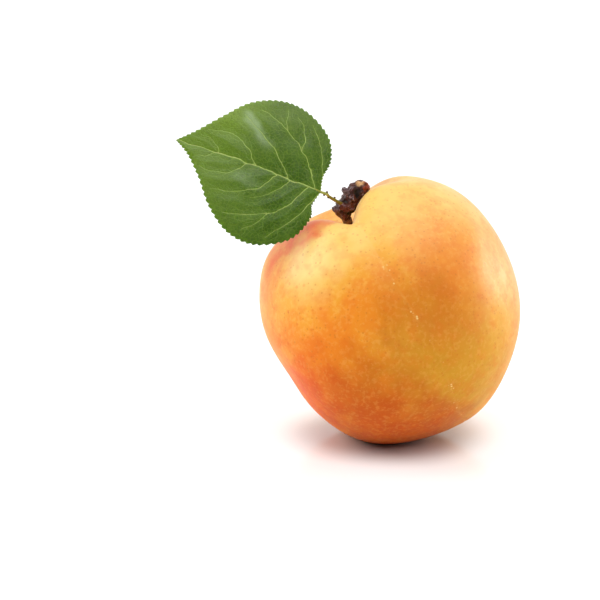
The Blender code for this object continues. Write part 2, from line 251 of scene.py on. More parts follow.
# Spur: the way it runs, its foot, its lumps, wrinkles and growth rings, and its scars: place from
# the fruit's centre, radius, depth.
SPUR_AXIS = (4.4, -1.0, 8.5)
SPUR_FOOT = (-9.2, 2.0, 21.5)
LUMP_HEIGHT = 0.65
LUMP_SIZE = 1.5
WRINKLE_HEIGHT = 0.16
WRINKLE_SIZE = 0.55
WRINKLE_STRETCH = 2.5
RING_HEIGHT = 0.07
RING_SPACING = 1.1
RING_WAVER = 2.0
SPUR_SCARS = (
    ((-6.4, 0.3, 30.3), 1.0, 0.2),
    ((-6.2, -0.9, 28.6), 0.8, 0.45),
    ((-7.0, -0.8, 27.5), 0.8, 0.45),
    ((-9.4, -0.6, 25.4), 0.7, 0.25),
    ((-8.0, 2.9, 27.0), 1.0, 0.4),
)
SCAR_RAGGEDNESS = 0.5
SCAR_GRAIN = 0.6
WOOD_SCAR = (-6.4, 0.2, 30.2)
RED_END = (-4.9, 0.0, 29.5)

# Buds: how far they sink into the spur, and their overlapping scales.
BUD_SINK = 0.15
BUD_LENGTH = 2.2
SCALE_WHORLS = 3.0
SCALES_ROUND = 3
SCALE_HEIGHT = 0.16
SCALE_GRAIN = 0.5

# Pedicel: how much longer than in the CAD it is drawn, and its relief.
PEDICEL_STRETCH = 0.12
PEDICEL_RELIEF = 0.12
PEDICEL_GRAIN = 0.7

# Petiole: its line, as in the CAD, how far it runs into the spur and the midrib, its radius and
# the swelling near its foot, and the roughness and the channel of its section.
PETIOLE_FOOT = (-9.2, 1.4, 24.4)
PETIOLE_BEND = (-13.0, -2.4, 27.5)
PETIOLE_LEAD = 1.35
PETIOLE_ROOT = 0.8
PETIOLE_RUN_IN = 2.6
PETIOLE_SINK = 0.1
PETIOLE_RADIUS = 0.36
PETIOLE_SWELL = 0.35
SWELL_PLACE = 0.12
SWELL_SPREAD = 0.14
PETIOLE_TAPER = 0.3
PETIOLE_SIDES = 24
PETIOLE_STEPS = 90
PETIOLE_ROUGHNESS = 0.05
PETIOLE_GRAINS = 3.0
CHANNEL_DEPTH = 0.22
CHANNEL_SPREAD = 0.5
CHANNEL_TURN = 0.25 * math.tau

# Nectar glands of the petiole: how far they sink in, and the height and depth of lip and cup, and
# where these lie between the gland's waist (0) and its top (1).
GLAND_COUNT = 4
GLAND_SINK = 0.06
GLAND_LIP = 0.03
LIP_PLACE = 0.72
LIP_SPREAD = 0.16
GLAND_CUP = 0.12
CUP_START = 0.8
CUP_SPREAD = 0.2


def clamped(value):
    """A sine or cosine that rounding may have pushed past one."""
    return max(-1.0, min(1.0, value))


def bell(share):
    """1 at the middle of a bump, dying away to both sides."""
    return math.exp(-(share**2))


def direction_of(around, polar):
    """Unit vector of the fruit's frame, by its angles round from the suture and from the stalk."""
    a = math.radians(around)
    t = math.radians(polar)
    return Vector((math.sin(t) * math.sin(a), -math.sin(t) * math.cos(a), math.cos(t)))


def centre_place():
    """Matrix of every piece: from the fruit's centre, in metres, to the row frame, with no turn."""
    return Matrix.Translation(Vector(FRUIT_CENTRE) * MM)


def fruit_turn():
    """Rotation from the fruit's own frame to the row frame."""
    left = Matrix.Rotation(math.radians(-FRUIT_LEAN_LEFT), 4, "Y")
    back = Matrix.Rotation(math.radians(-FRUIT_LEAN_BACK), 4, "X")
    spin = Matrix.Rotation(math.radians(FRUIT_SPIN), 4, "Z")
    return left @ back @ spin


# ---------------- meshes


def add_object(name, data):
    """A new object of the scene."""
    made = bpy.data.objects.new(name, data)
    bpy.context.scene.collection.objects.link(made)
    return made


def add_mesh(name, body, *materials):
    """A new mesh object of the scene, from a body that it uses up."""
    mesh = bpy.data.meshes.new(name)
    body.to_mesh(mesh)
    body.free()
    for material in materials:
        mesh.materials.append(material)
    return add_object(name, mesh)


def smooth_body(name, levels):
    """A finer, rounded copy of a CAD node's mesh, in the row frame."""
    body = bmesh.new()
    body.from_mesh(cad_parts[name].data)
    bmesh.ops.remove_doubles(body, verts=body.verts, dist=MERGE_DISTANCE)
    angle = math.radians(JOIN_ANGLE)
    bmesh.ops.join_triangles(
        body, faces=body.faces, angle_face_threshold=angle, angle_shape_threshold=angle
    )
    rough = add_mesh("rough", body)
    mesh = rough.data
    rounding = rough.modifiers.new("rounding", "SUBSURF")
    rounding.levels = levels
    rounding.render_levels = levels
    depsgraph = bpy.context.evaluated_depsgraph_get()
    smooth = bmesh.new()
    smooth.from_mesh(rough.evaluated_get(depsgraph).to_mesh())
    bpy.data.objects.remove(rough)
    bpy.data.meshes.remove(mesh)
    bmesh.ops.recalc_face_normals(smooth, faces=smooth.faces)
    smooth.normal_update()
    return smooth


def new_piece(name, body, materials, node, slot, **fields):
    """The piece that stands for a CAD node; each field keeps a number for every point."""
    for face in body.faces:
        face.smooth = True
    piece = add_mesh(name, body, *materials)
    piece.matrix_world = centre_place()
    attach(piece, "root")
    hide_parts(node)
    for field, values in fields.items():
        kept = piece.data.attributes.new(field, "FLOAT", "POINT")
        kept.data.foreach_set("value", np.asarray(values, dtype=np.float32))


def suture_offset(polar):
    """Distance of the suture from the fruit's middle plane, in mm, with its slight wander."""
    drift = SUTURE_DRIFT * max(polar - SUTURE_DRIFTS_FROM, 0.0)
    return drift + SUTURE_LINE_WANDER * math.sin(polar / SUTURE_WANDER_ANGLE)


def across_suture(way):
    """Signed distance of a direction from the suture, in mm; the far side counts as far away."""
    polar = math.degrees(math.acos(clamped(way.z)))
    if way.y > 0:
        return FRUIT_RADIUS
    return way.x * FRUIT_RADIUS - suture_offset(polar)


def skin_dip(way):
    """How far the fine skin lies below the CAD surface along a direction, in mm."""
    line = SUTURE_LINE_DEPTH * bell(across_suture(way) / SUTURE_LINE_WIDTH)
    wave = noise.noise(way * (FRUIT_RADIUS / DIMPLE_SIZE))
    dent = 0.0
    for around, polar, spread, depth in DENTS:
        apart = math.degrees(math.acos(clamped(way.dot(direction_of(around, polar)))))
        dent += depth * bell(apart / spread)
    return line + dent + DIMPLE_DEPTH * (0.5 + 0.5 * wave)


def make_fruit():
    """A fine polar grid cast onto the rounded CAD skin, with its suture line and dimples."""
    target = smooth_body("fruit", SMOOTHING_LEVELS)
    to_fruit = (centre_place() @ fruit_turn()).inverted()
    bmesh.ops.transform(target, matrix=to_fruit, verts=target.verts)
    tree = BVHTree.FromBMesh(target)
    target.free()
    down = fruit_turn().inverted().to_3x3() @ Vector((0, 0, -1))
    rest = FRUIT_CENTRE[2] * MM
    body = bmesh.new()
    bmesh.ops.create_uvsphere(body, u_segments=FRUIT_COLUMNS, v_segments=FRUIT_ROWS, radius=1.0)
    across = []
    for vert in body.verts:
        polar = 180.0 * (math.acos(clamped(vert.co.z)) / math.pi) ** ROW_GATHER
        around = math.atan2(vert.co.x, -vert.co.y)
        around -= COLUMN_GATHER * math.sin(around)
        way = direction_of(math.degrees(around), polar)
        reach = tree.ray_cast((0, 0, 0), way)[3] - skin_dip(way) * MM
        lowest = way.dot(down) * reach
        if lowest > rest:
            reach *= rest / lowest
        vert.co = way * reach
        across.append(across_suture(way))
    bmesh.ops.transform(body, matrix=fruit_turn(), verts=body.verts)
    skin = [skin_material()]
    new_piece("apricot_skin", body, skin, "fruit", "fruit_skin", across_suture=across)


def curve_point(points, share):
    """Point of the smooth line through the given points, 0 at its start and 1 at its end."""
    place = min(max(share, 0.0), 1.0) * (len(points) - 1)
    index = min(int(place), len(points) - 2)
    t = place - index
    before = Vector(points[max(index - 1, 0)])
    start = Vector(points[index])
    end = Vector(points[index + 1])
    after = Vector(points[min(index + 2, len(points) - 1)])
    slope = end - before
    bend = 2 * before - 5 * start + 4 * end - after
    twist = 3 * start - before - 3 * end + after
    return 0.5 * (2 * start + slope * t + bend * t**2 + twist * t**3)


def curve_direction(points, share):
    """Direction of the smooth line at a share of its length."""
    ahead = curve_point(points, share + TANGENT_STEP)
    return (ahead - curve_point(points, share - TANGENT_STEP)).normalized()


def leaf_turn():
    """Rotation from the leaf's own frame to the row frame."""
    facing = Matrix(((-1, 0, 0, 0), (0, 0, -1, 0), (0, -1, 0, 0), (0, 0, 0, 1)))
    rise = Matrix.Rotation(math.radians(-LEAF_RISE), 4, "Z")
    tip_back = Matrix.Rotation(math.radians(LEAF_TIP_BACK), 4, "Y")
    roll = Matrix.Rotation(math.radians(LEAF_ROLL), 4, "X")
    return facing @ rise @ tip_back @ roll


def leaf_place():
    """Matrix from the leaf's own frame to one that starts at the fruit's centre, both in metres."""
    return Matrix.Translation(Vector(LEAF_BASE) * MM) @ leaf_turn()


def leaf_edge(side, share):
    """Point of the smooth margin, before its teeth, and the direction along it."""
    margin = HANGING_MARGIN if side > 0 else RISING_MARGIN
    points = [(x, side * y, 0) for x, y in margin]
    return curve_point(points, share), curve_direction(points, share)


def tooth_profile(share):
    """Height of the margin's teeth, each rising slowly towards the tip and dropping sharply."""
    phase = (share * LEAF_TEETH) % 1.0
    rising = math.sin(0.5 * math.pi * min(phase / TOOTH_RISE, 1.0))
    falling = min((1.0 - phase) / (1.0 - TOOTH_RISE), 1.0)
    fade = min(1.0, TOOTH_FADE * share, TOOTH_FADE * (1 - share))
    return fade * rising * falling


def vein_runs(points, steps):
    """Short straight pieces of a vein's line: start, end and share of the way along it."""
    count = steps * (len(points) - 1)
    flat = [(x, y, 0) for x, y in points]
    line = [curve_point(flat, index / count) for index in range(count + 1)]
    return [(a.xy, b.xy, index / count) for index, (a, b) in enumerate(zip(line, line[1:]))]


def twig_points(start, heading, side):
    """A fine vein that leaves a larger one and curls towards its end."""
    points = [start]
    angle = heading + side * math.radians(TWIG_ANGLE)
    for _ in range(TWIG_STEPS):
        step = TWIG_LENGTH / TWIG_STEPS
        last = points[-1]
        points.append((last[0] + step * math.cos(angle), last[1] + step * math.sin(angle)))
        angle -= side * math.radians(TWIG_CURL)
    return points


def fine_veins():
    """Fine veins along every side vein and the midrib, alternating from side to side."""
    twigs = []
    for _, points in (MIDRIB, *SIDE_VEINS):
        line = [(x, y, 0) for x, y in points]
        length = sum((Vector(a) - Vector(b)).length for a, b in zip(line, line[1:]))
        count = int(length / TWIG_SPACING)
        for index in range(1, count):
            share = index / count
            here = curve_point(line, share)
            ahead = curve_point(line, share + TANGENT_STEP) - here
            heading = math.atan2(ahead.y, ahead.x)
            side = 1 if index % 2 else -1
            twigs.append(twig_points((here.x, here.y), heading, side))
    return twigs


def offset_from(places, start, end):
    """Signed distance of each place, a row of x and y, from a straight run; left is positive."""
    start = np.array(start)
    along = np.array(end) - start
    apart = places - start
    share = np.clip((apart @ along) / (along @ along), 0.0, 1.0)
    away = np.linalg.norm(apart - share[:, None] * along, axis=1)
    return np.where(along[0] * apart[:, 1] < along[1] * apart[:, 0], -away, away)


def nearest_runs(places, runs):
    """Signed distance of each place from the nearest run, and that run's half width."""
    offset = np.full(len(places), LEAF_LENGTH)
    width = np.ones(len(places))
    for start, end, half_width in runs:
        here = offset_from(places, start, end)
        nearer = np.abs(here) < np.abs(offset)
        offset = np.where(nearer, here, offset)
        width = np.where(nearer, half_width, width)
    return offset, width


def wander(x, y):
    """A place of the blade moved a little, so that lines drawn there look wavy."""
    here = Vector((x, y, 0.0))
    for size, amount in VEIN_WAVES:
        place = here / size
        here.x += amount * noise.noise(place)
        here.y += amount * noise.noise(place + WAVE_SHIFT)
    return here.x, here.y


def vein_fields(places):
    """Signed distance of each place from a main vein, that vein's width, and from a fine vein."""
    main_runs = []
    for width, points in (MIDRIB, *SIDE_VEINS):
        for start, end, share in vein_runs(points, VEIN_STEPS):
            main_runs.append((start, end, width * (1.0 - VEIN_TAPER * share)))
    fine_runs = [(a, b, TWIG_WIDTH) for points in fine_veins() for a, b in zip(points, points[1:])]
    wavy = np.array([wander(x, y) for x, y in places])
    offset, width = nearest_runs(wavy, main_runs)
    fine, _ = nearest_runs(wavy, fine_runs)
    return offset, width, fine


def leaf_height(x, y):
    """Height of the blade: bowed lengthwise, raised beside the midrib, drooping at the margin."""
    bow = LEAF_BOW * math.sin(math.pi * min(max(x / LEAF_LENGTH, 0.0), 1.0))
    return bow + LEAF_FOLD * abs(y) - LEAF_DROOP * y * y


def blade_grid():
    """Places of the blade in its own plane, and their share of the way from rib to margin."""
    columns = LEAF_TEETH * POINTS_PER_TOOTH
    grid = []
    for column in range(columns + 1):
        share = column / columns
        rib = Vector((LEAF_LENGTH * share**RIB_CROWDING, 0, 0))
        for row in range(-LEAF_ROWS, LEAF_ROWS + 1):
            side = 1 if row > 0 else -1
            spread = (abs(row) / LEAF_ROWS) ** ROW_CROWDING
            edge, along = leaf_edge(side, share)
            outwards = side * Vector((-along.y, along.x, 0))
            tooth = TOOTH_HEIGHT * tooth_profile(share) * (outwards + TOOTH_LEAN * along)
            place = rib.lerp(edge, spread) + tooth * spread**TOOTH_REACH
            grid.append((place.x, place.y, spread))
    return columns, grid


def add_blade_faces(body, upper, lower, columns):
    """Faces over both grids of points; the lower ones take the second material."""
    rows = 2 * LEAF_ROWS + 1
    for column in range(columns):
        for row in range(rows - 1):
            first = column * rows + row
            ring = (first, first + rows, first + rows + 1, first + 1)
            body.faces.new([upper[i] for i in ring])
            under = body.faces.new([lower[i] for i in reversed(ring)])
            under.material_index = 1


def leaf_body():
    """Both faces of the blade, quilted between sunken veins, closed round the margin."""
    columns, grid = blade_grid()
    places = np.array([(x, y) for x, y, _ in grid])
    offset, width, fine = vein_fields(places)
    main = np.exp(-((offset / (VEIN_SPREAD * width)) ** 2))
    thin = np.exp(-((fine / (VEIN_SPREAD * TWIG_WIDTH)) ** 2))
    body = bmesh.new()
    upper = []
    lower = []
    for index, (x, y, spread) in enumerate(grid):
        here = Vector((x, y, 0.0))
        wave = noise.noise(here / BLADE_UNEVEN_SIZE) * BLADE_UNEVENNESS
        quilt = QUILT_HEIGHT * (1.0 - bell(offset[index] / QUILT_REACH))
        middle = leaf_height(x, y) + (wave + quilt) * (1.0 - spread**MARGIN_CALM)
        inside = 1.0 - spread**MARGIN_SHARPNESS
        half = BLADE_HALF_THICKNESS * math.sqrt(max(inside, 0.0))
        vein = main[index] + TWIG_SHARE * thin[index]
        sunk = VEIN_SINK * vein * inside
        raised = VEIN_RELIEF_BELOW * vein * inside
        upper.append(body.verts.new(Vector((x, y, middle + half - sunk)) * MM))
        lower.append(body.verts.new(Vector((x, y, middle - half - raised)) * MM))
    add_blade_faces(body, upper, lower, columns)
    bmesh.ops.remove_doubles(body, verts=body.verts, dist=MERGE_DISTANCE)
    return body


def make_leaf():
    """The blade, with its veins kept as fields for its materials."""
    body = leaf_body()
    places = np.array([(v.co.x / MM, v.co.y / MM) for v in body.verts])
    offset, width, fine = vein_fields(places)
    bmesh.ops.transform(body, matrix=leaf_place(), verts=body.verts)
    materials = [leaf_top_material(), leaf_under_material()]
    fields = {
        "vein_offset": offset,
        "vein_distance": np.abs(offset),
        "vein_width": width,
        "fine_vein_offset": fine,
        "fine_vein_distance": np.abs(fine),
    }
    new_piece("leaf", body, materials, "leaf_blade", "leaf_green", **fields)


def centred_body(name, levels):
    """A finer, rounded copy of a CAD node's mesh, in metres from the fruit's centre."""
    body = smooth_body(name, levels)
    bmesh.ops.transform(body, matrix=centre_place().inverted(), verts=body.verts)
    body.normal_update()
    return body


def middle_of(body):
    """Mean point of a body."""
    return sum((v.co for v in body.verts), Vector()) / len(body.verts)


def press_against(body, tree, depth):
    """Sinks a body into its neighbour by a depth in mm; returns its middle and its way outwards."""
    closest = min((tree.find_nearest(v.co) for v in body.verts), key=lambda found: found[3])
    towards = (closest[0] - middle_of(body)).normalized()
    bmesh.ops.translate(body, vec=towards * (closest[3] + depth * MM), verts=body.verts)
    middle = middle_of(body)
    return middle, (middle - tree.find_nearest(middle)[0]).normalized()


def relieve(body, height):
    """Moves every point along its normal by a height in mm, and returns the heights."""
    body.normal_update()
    moves = [(v, v.normal.copy(), height(v.co / MM)) for v in body.verts]
    for vert, normal, rise in moves:
        vert.co += normal * rise * MM
    return [rise for _, _, rise in moves]


def bark_height(point):
    """Relief of the spur's bark: lumps, wrinkles along it, growth rings and scars."""
    axis = Vector(SPUR_AXIS).normalized()
    along = point.dot(axis)
    squeezed = point - axis * along * (1.0 - 1.0 / WRINKLE_STRETCH)
    lump = LUMP_HEIGHT * noise.noise(point / LUMP_SIZE)
    wrinkle = WRINKLE_HEIGHT * (1.0 - 2.0 * abs(noise.noise(squeezed / WRINKLE_SIZE)))
    waver = RING_WAVER * noise.noise(point / LUMP_SIZE)
    ring = RING_HEIGHT * math.sin(math.tau * along / RING_SPACING + waver)
    height = lump + wrinkle + ring
    ragged = SCAR_RAGGEDNESS * noise.noise(point / SCAR_GRAIN)
    for place, radius, depth in SPUR_SCARS:
        share = (point - Vector(place)).length / radius + ragged
        height -= depth * bell(share)
    return height


def make_spur():
    """The woody stub, with its bark in relief."""
    body = centred_body("spur", RELIEF_LEVELS)
    heights = relieve(body, bark_height)
    tree = BVHTree.FromBMesh(body)
    new_piece("fruiting_spur", body, [bark_material()], "spur", "spur_bark", relief=heights)
    return tree


def make_bud(node_name, piece_name, spur_tree, material):
    """A bud of overlapping scales, pressed onto the spur."""
    body = centred_body(node_name, RELIEF_LEVELS)
    middle, axis = press_against(body, spur_tree, BUD_SINK)
    side = axis.orthogonal().normalized()
    other = axis.cross(side)

    def scale_height(point):
        out = point - middle / MM
        turn = math.atan2(out.dot(other), out.dot(side)) / math.tau
        step = (SCALE_WHORLS * out.dot(axis) / BUD_LENGTH + SCALES_ROUND * turn) % 1.0
        return SCALE_HEIGHT * (0.5 - step) + 0.5 * SCALE_HEIGHT * noise.noise(point / SCALE_GRAIN)

    heights = relieve(body, scale_height)
    new_piece(piece_name, body, [material], node_name, "bud_scale", relief=heights)


def make_pedicel():
    """The fruit's own stalk, drawn out to meet the flesh and the spur."""
    body = centred_body("pedicel", SMOOTHING_LEVELS)
    middle = middle_of(body)
    axis = (Vector(SPUR_FOOT) * MM - middle).normalized()
    for vert in body.verts:
        vert.co += axis * (vert.co - middle).dot(axis) * PEDICEL_STRETCH
    heights = relieve(body, lambda point: PEDICEL_RELIEF * noise.noise(point / PEDICEL_GRAIN))
    bark = [pedicel_material()]
    new_piece("pedicel_stalk", body, bark, "pedicel", "pedicel_bark", relief=heights)


def petiole_points(spur_tree):
    """Points of the petiole's middle line, from inside the spur to inside the midrib."""
    bend = Vector(PETIOLE_BEND)
    inwards = (Vector(PETIOLE_FOOT) - bend).normalized()
    foot = spur_tree.ray_cast(bend * MM, inwards)[0] / MM
    lead = leaf_place() @ (Vector((-PETIOLE_LEAD, 0, 0)) * MM) / MM
    base = Vector(LEAF_BASE)
    depth = leaf_height(PETIOLE_RUN_IN, 0) - PETIOLE_SINK
    in_blade = leaf_place() @ (Vector((PETIOLE_RUN_IN, PETIOLE_SINK, depth)) * MM) / MM
    return (foot + inwards * PETIOLE_ROOT, foot, bend, lead, base, in_blade)


def petiole_ring(points, share):
    """Points round the petiole, a share of the way along its middle line."""
    middle = curve_point(points, share)
    along = curve_direction(points, share)
    side = along.cross(Vector((0, 0, 1))).normalized()
    upwards = side.cross(along)
    swell = PETIOLE_SWELL * bell((share - SWELL_PLACE) / SWELL_SPREAD)
    radius = PETIOLE_RADIUS * (1.0 + swell - PETIOLE_TAPER * share**3)
    ring = []
    for index in range(PETIOLE_SIDES):
        turn = math.tau * index / PETIOLE_SIDES
        out = side * math.cos(turn) + upwards * math.sin(turn)
        channel = CHANNEL_DEPTH * bell((turn - CHANNEL_TURN) / CHANNEL_SPREAD)
        rough = PETIOLE_ROUGHNESS * noise.noise((middle + out) * PETIOLE_GRAINS)
        ring.append(middle + out * radius * (1.0 - channel + rough))
    return ring


def make_petiole(spur_tree):
    """The leaf's stalk: swollen at its foot, channelled above, running into the midrib."""
    points = petiole_points(spur_tree)
    body = bmesh.new()
    rings = []
    shares = []
    for step in range(PETIOLE_STEPS + 1):
        share = step / PETIOLE_STEPS
        rings.append([body.verts.new(point * MM) for point in petiole_ring(points, share)])
        shares += [share] * PETIOLE_SIDES
    for ring, after in zip(rings, rings[1:]):
        for index in range(PETIOLE_SIDES):
            beside = (index + 1) % PETIOLE_SIDES
            body.faces.new((ring[index], ring[beside], after[beside], after[index]))
    body.faces.new(reversed(rings[0]))
    body.faces.new(rings[-1])
    bmesh.ops.recalc_face_normals(body, faces=body.faces)
    tree = BVHTree.FromBMesh(body)
    green = [petiole_material()]
    new_piece("petiole_stalk", body, green, "petiole", "petiole_green", along=shares)
    return tree


def make_glands(petiole_tree):
    """Cup-shaped nectar glands, pressed onto the petiole."""
    material = gland_material()
    for index in range(1, GLAND_COUNT + 1):
        node_name = f"petiole_gland_{index}"
        body = centred_body(node_name, SMOOTHING_LEVELS)
        middle, out = press_against(body, petiole_tree, GLAND_SINK)

        def cup_height(point, middle=middle, out=out):
            share = (point - middle / MM).normalized().dot(out)
            lip = GLAND_LIP * bell((share - LIP_PLACE) / LIP_SPREAD)
            return lip - GLAND_CUP * max(share - CUP_START, 0.0) / CUP_SPREAD

        relieve(body, cup_height)
        new_piece(f"nectar_gland_{index}", body, [material], node_name, "gland_brown")


# ---------------- materials

# Colours of the skin's finer marks, and of its shine and its down.
MOTTLE = (0.92, 0.25, 0.015)
SPECKLE = (0.95, 0.53, 0.09)
RED_MOTTLE = (0.8, 0.18, 0.01)
PORE = (1.0, 0.55, 0.13)
RED_DOT = (0.8, 0.14, 0.008)
LENTICEL = (0.66, 0.16, 0.01)
GOLDEN_FLECK = (0.97, 0.66, 0.22)
SUTURE_GOLD = (0.97, 0.6, 0.14)
SKIN_SHINE = (1.0, 0.93, 0.8)
SKIN_DOWN = (1.0, 0.93, 0.82)

# Greens of the leaf's upper face, then of its underside.
LEAF_GREENS = ((0.052, 0.115, 0.005), (0.078, 0.155, 0.007))
TIP_GREEN = (0.15, 0.25, 0.018)
RISING_GREEN = (0.15, 0.225, 0.025)
YOUNG_GREEN = (0.24, 0.36, 0.03)
NET_GREEN = (0.19, 0.29, 0.03)
SPECKLE_GREEN = (0.04, 0.085, 0.006)
HALO_GREEN = (0.14, 0.24, 0.018)
FINE_VEIN_GREEN = (0.24, 0.36, 0.07)
VEIN_GREEN = (0.41, 0.52, 0.12)
UNDER_GREENS = ((0.15, 0.24, 0.07), (0.19, 0.29, 0.09))
UNDER_SPECKLE = (0.11, 0.18, 0.05)
UNDER_FINE_VEIN = (0.3, 0.4, 0.14)
UNDER_VEIN = (0.44, 0.52, 0.2)

# Woody parts: their two ground colours, and the colours of their details.
BARK_MAROONS = ((0.04, 0.01, 0.008), (0.115, 0.026, 0.016))
BARK_BLOOM = (0.33, 0.23, 0.25)
# Near black of painted shade in the bark's hollows.
BARK_HOLLOW_SHADE = (0.008, 0.003, 0.003)
BARK_RED = (0.33, 0.05, 0.018)
OPEN_WOOD = (0.76, 0.42, 0.17)
BUD_GREYS = ((0.085, 0.035, 0.035), (0.23, 0.16, 0.175))
BUD_EDGE = (0.04, 0.012, 0.01)
PEDICEL_BROWNS = ((0.14, 0.06, 0.025), (0.3, 0.15, 0.06))
PEDICEL_HOLLOW = (0.06, 0.022, 0.012)
PETIOLE_GREENS = ((0.3, 0.31, 0.03), (0.4, 0.4, 0.07))
PETIOLE_RED = (0.19, 0.1, 0.02)
GLAND_BROWNS = ((0.05, 0.016, 0.01), (0.11, 0.035, 0.018))

# How far red, green and blue light spread inside, as shares of a depth in mm.
LIGHT_IN_FLESH = (1.0, 0.4, 0.12)
LIGHT_IN_LEAF = (0.5, 1.0, 0.2)
LIGHT_SHARE = 0.25

# Levels between which a noise is read, and the cell size of the leaf's fine net, in mm.
MIDDLE_LEVELS = (0.3, 0.7)
NET_SIZE = 0.85


def new_material(name):
    """A material, its node tree and its Principled shader."""
    material = bpy.data.materials.new(name)
    material.use_nodes = True
    return material, material.node_tree, material.node_tree.nodes["Principled BSDF"]


def fill(made, values):
    """Sets inputs of a node to plain values or to other nodes' outputs."""
    for key, value in values.items():
        if isinstance(value, bpy.types.NodeSocket):
            made.id_data.links.new(value, made.inputs[key])
        else:
            made.inputs[key].default_value = value


def new_node(tree, kind, values, **settings):
    """A new node, its inputs and its settings."""
    made = tree.nodes.new(kind)
    for key, setting in settings.items():
        setattr(made, key, setting)
    fill(made, values)
    return made


def fed_node(kind, values, **settings):
    """A new node in the tree of the outputs that feed it."""
    fed = (value for value in values.values() if isinstance(value, bpy.types.NodeSocket))
    return new_node(next(fed).id_data, kind, values, **settings)


def vector(operation, values, output=0):
    """One step of arithmetic with vectors."""
    return fed_node("ShaderNodeVectorMath", values, operation=operation).outputs[output]


def millimetres(tree):
    """The surface point from the fruit's centre, in millimetres."""
    place = new_node(tree, "ShaderNodeTexCoord", {}).outputs["Object"]
    return vector("SCALE", {0: place, "Scale": 1 / MM})


def attribute(tree, name):
    """A field of the piece: a number for each point."""
    return new_node(tree, "ShaderNodeAttribute", {}, attribute_name=name).outputs["Fac"]


def ramp(value, start, end, low=0.0, high=1.0):
    """A smooth step of a value, from low at start to high at end."""
    if start > end:
        start, end, low, high = end, start, high, low
    settings = {"Value": value, "From Min": start, "From Max": end, "To Min": low, "To Max": high}
    return fed_node("ShaderNodeMapRange", settings, interpolation_type="SMOOTHSTEP").outputs[0]


def maths(operation, first, second=0.0):
    """One step of arithmetic."""
    return fed_node("ShaderNodeMath", {0: first, 1: second}, operation=operation).outputs[0]


def times(first, second):
    """The product of two numbers."""
    return maths("MULTIPLY", first, second)


def blend(share, first, second):
    """A mix of two colours."""
    colours = [c if isinstance(c, bpy.types.NodeSocket) else (*c, 1.0) for c in (first, second)]
    values = {0: share, 6: colours[0], 7: colours[1]}
    return fed_node("ShaderNodeMix", values, data_type="RGBA").outputs[2]


def layered(colour, *layers):
    """A colour with tints over it, each where its mask is 1 and at its strength."""
    for mask, strength, tint in layers:
        colour = blend(times(mask, strength), colour, tint)
    return colour


def along_axis(place, axis):
    """How far a place lies along a unit vector."""
    return vector("DOT_PRODUCT", {0: place, 1: axis}, "Value")


def grain(place, size, detail=3.0, roughness=0.5):
    """Noise from 0 to 1 whose blotches are about the given size in mm."""
    values = {"Vector": place, "Scale": 1.0 / size, "Detail": detail, "Roughness": roughness}
    return fed_node("ShaderNodeTexNoise", values).outputs["Fac"]


def dots(place, spacing, radius, share):
    """Round dots of about the given radius, in a share of the cells of a loose lattice."""
    cells = fed_node("ShaderNodeTexVoronoi", {"Vector": place, "Scale": 1.0 / spacing})
    chance = fed_node("ShaderNodeSeparateColor", {0: cells.outputs["Color"]}).outputs[0]
    near = ramp(cells.outputs["Distance"], radius / spacing, 0.4 * radius / spacing)
    return times(near, maths("LESS_THAN", chance, share))


def near_place(place, centre, full, end):
    """1 within a distance in mm of a point, falling to 0."""
    return ramp(vector("DISTANCE", {0: place, 1: centre}, "Value"), end, full)


def stretched(place, axis, amount):
    """Places squeezed along an axis, so that what is drawn there comes out drawn along it."""
    along = Vector(axis).normalized()
    back = times(along_axis(place, along), 1.0 / amount - 1.0)
    move = vector("SCALE", {0: along, "Scale": back})
    return vector("ADD", {0: place, 1: move})


def coat(shader, colour, texture, low, high):
    """Sets a material's colour, and its roughness between two values by a texture."""
    rough = ramp(texture, *MIDDLE_LEVELS, low, high)
    fill(shader, {"Base Color": colour, "Roughness": rough})


def roughen(shader, height, strength, depth):
    """Bumps a material by a height map, to a depth in mm."""
    values = {"Height": height, "Strength": strength, "Distance": depth * MM}
    fill(shader, {"Normal": fed_node("ShaderNodeBump", values).outputs[0]})


def let_light_in(shader, radius, depth):
    """Lets some light into a material, to a depth in mm."""
    values = {"Weight": LIGHT_SHARE, "Radius": radius, "Scale": depth * MM}
    fill(shader, {f"Subsurface {key}": value for key, value in values.items()})


def patch(way, wobble, around, polar, full, end):
    """1 inside a round patch of the fruit, falling to 0 at its ragged end."""
    centre = fruit_turn() @ direction_of(around, polar)
    apart = maths("ARCCOSINE", along_axis(way, centre))
    return ramp(maths("ADD", apart, wobble), math.radians(end), math.radians(full))


def skin_ground(broad, middle, fine):
    """Ripe yellow-orange, mottled and speckled."""
    colour = blend(ramp(broad, 0.38, 0.62), *GROUND)
    mottle = (ramp(middle, 0.42, 0.66), 0.35, MOTTLE)
    speckle = (ramp(fine, 0.45, 0.7), 0.4, SPECKLE)
    return layered(colour, mottle, speckle)


def skin_marks(colour, place, red_side, middle, fine):
    """Mottle, pores, red dots on the cheek that they speckle, and lenticels all over."""
    mottle = (ramp(middle, 0.45, 0.65), 0.22, RED_MOTTLE)
    pores = (ramp(fine, 0.48, 0.66), 0.14, PORE)
    red_dots = (dots(place, 1.7, 0.5, 0.4), times(red_side, 0.55), RED_DOT)
    lenticels = (dots(place, 0.95, 0.3, 0.55), 0.42, LENTICEL)
    return layered(colour, mottle, pores, red_dots, lenticels)


def suture_marks(tree, colour, place, middle):
    """Golden flecks in groups along the suture, and its faint, broken line."""
    away = maths("ABSOLUTE", attribute(tree, "across_suture"))
    in_groups = ramp(grain(place, 3.4, 1.0), 0.44, 0.52)
    flecks = times(dots(place, 0.7, 0.3, 0.45), ramp(away, 0.9, 0.2))
    line = times(ramp(away, 0.45, 0.05), 0.1)
    gold = (line, ramp(middle, 0.4, 0.6), SUTURE_GOLD)
    return layered(colour, (flecks, in_groups, GOLDEN_FLECK), gold)


